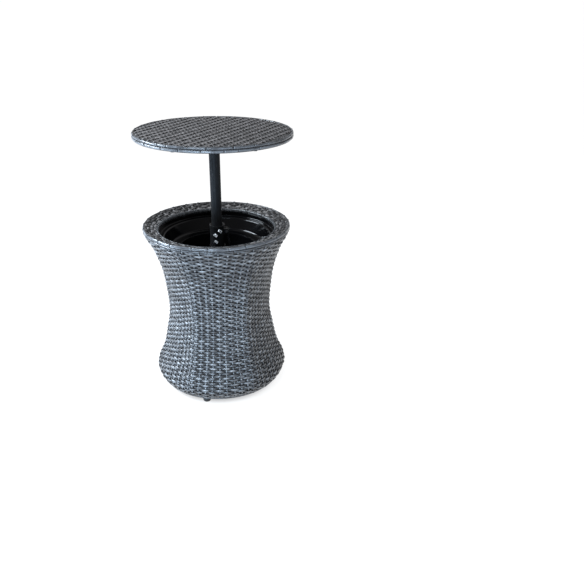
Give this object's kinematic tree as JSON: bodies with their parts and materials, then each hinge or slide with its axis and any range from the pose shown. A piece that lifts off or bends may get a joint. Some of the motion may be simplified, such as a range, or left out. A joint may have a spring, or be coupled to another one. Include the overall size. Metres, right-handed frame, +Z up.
{
  "type": "cooler table",
  "caption": "Round patio side table of woven strand with a waisted body, a drop-in ice tub and a lid that rises on a clamped telescopic mast.",
  "frame": {"origin": "on the floor at the centre of the table", "axes": "+Z up along the mast, front of the table towards -Y, clamp lever towards +X"},
  "size_m": [0.4999, 0.5, 0.878],
  "materials": {
    "weave": "woven flat synthetic strand, mottled greys, satin",
    "frame": "black powder coat, fine texture",
    "mast": "black powder coat, semi-gloss",
    "tub": "glossy black moulded plastic",
    "nylon": "black nylon, satin",
    "liner": "black sheet plastic, fine grain",
    "rubber": "black rubber, matt",
    "bright": "zinc-plated steel, slightly worn"
  },
  "bodies": {
    "stand": {"weave_base": "weave", "weave_waist": "weave", "weave_shoulder": "weave", "base_edge_band": "weave", "rim_weave": "weave", "rim_edge_band": "weave", "rim_inner_band": "weave", "top_ring": "frame", "waist_ring": "frame", "bottom_ring": "frame", "inner_rim_ring": "frame", "rim_spokes": "frame", "rib_front_right": "frame", "rib_right": "frame", "rib_back_right": "frame", "rib_back_left": "frame", "rib_left": "frame", "rib_front_left": "frame", "base_bar": "frame", "base_half_bars": "frame", "tube_base_plate": "frame", "base_plate_screws": "bright", "foot_front": "rubber", "foot_right": "rubber", "foot_back": "rubber", "foot_left": "rubber", "foot_screws": "bright", "ice_tub": "tub", "tub_basin": "tub", "tub_sleeve": "tub", "outer_tube": "mast", "guide_bush": "nylon", "clamp_collar": "nylon", "collar_screws": "bright", "lever_pin": "bright", "brake_shoe": "nylon"},
    "lid": {"lid_pole": "mast", "pole_end_cap": "nylon", "pole_stop_ring": "mast", "lid_ring": "frame", "lid_weave": "weave", "lid_edge_band": "weave", "lid_cross": "frame", "lid_flange": "frame", "lid_flange_screws": "bright", "lid_liner": "liner", "lid_liner_screws": "bright", "lid_bumpers": "rubber"},
    "slide_bush": {"pole_end_bush": "nylon"},
    "lever": {"cam_lever": "nylon"},
    "plug": {"drain_plug": "rubber"}
  },
  "joints": [
    {"name": "pole_slide", "type": "slide", "parent": "stand", "child": "slide_bush", "axis": [0, 0, 1], "range_m": [-0.278, 0]},
    {"name": "lid_swivel", "type": "hinge", "parent": "slide_bush", "child": "lid", "pos_m": [0, 0, 0.45], "axis": [0, 0, 1], "continuous": true},
    {"name": "clamp_lever", "type": "hinge", "parent": "stand", "child": "lever", "pos_m": [0.0315, 0, 0.548], "axis": [0, -1, 0], "range_deg": [0, 95]},
    {"name": "plug_pull", "type": "slide", "parent": "stand", "child": "plug", "axis": [0, 0, 1], "range_m": [0, 0.03]}
  ]
}
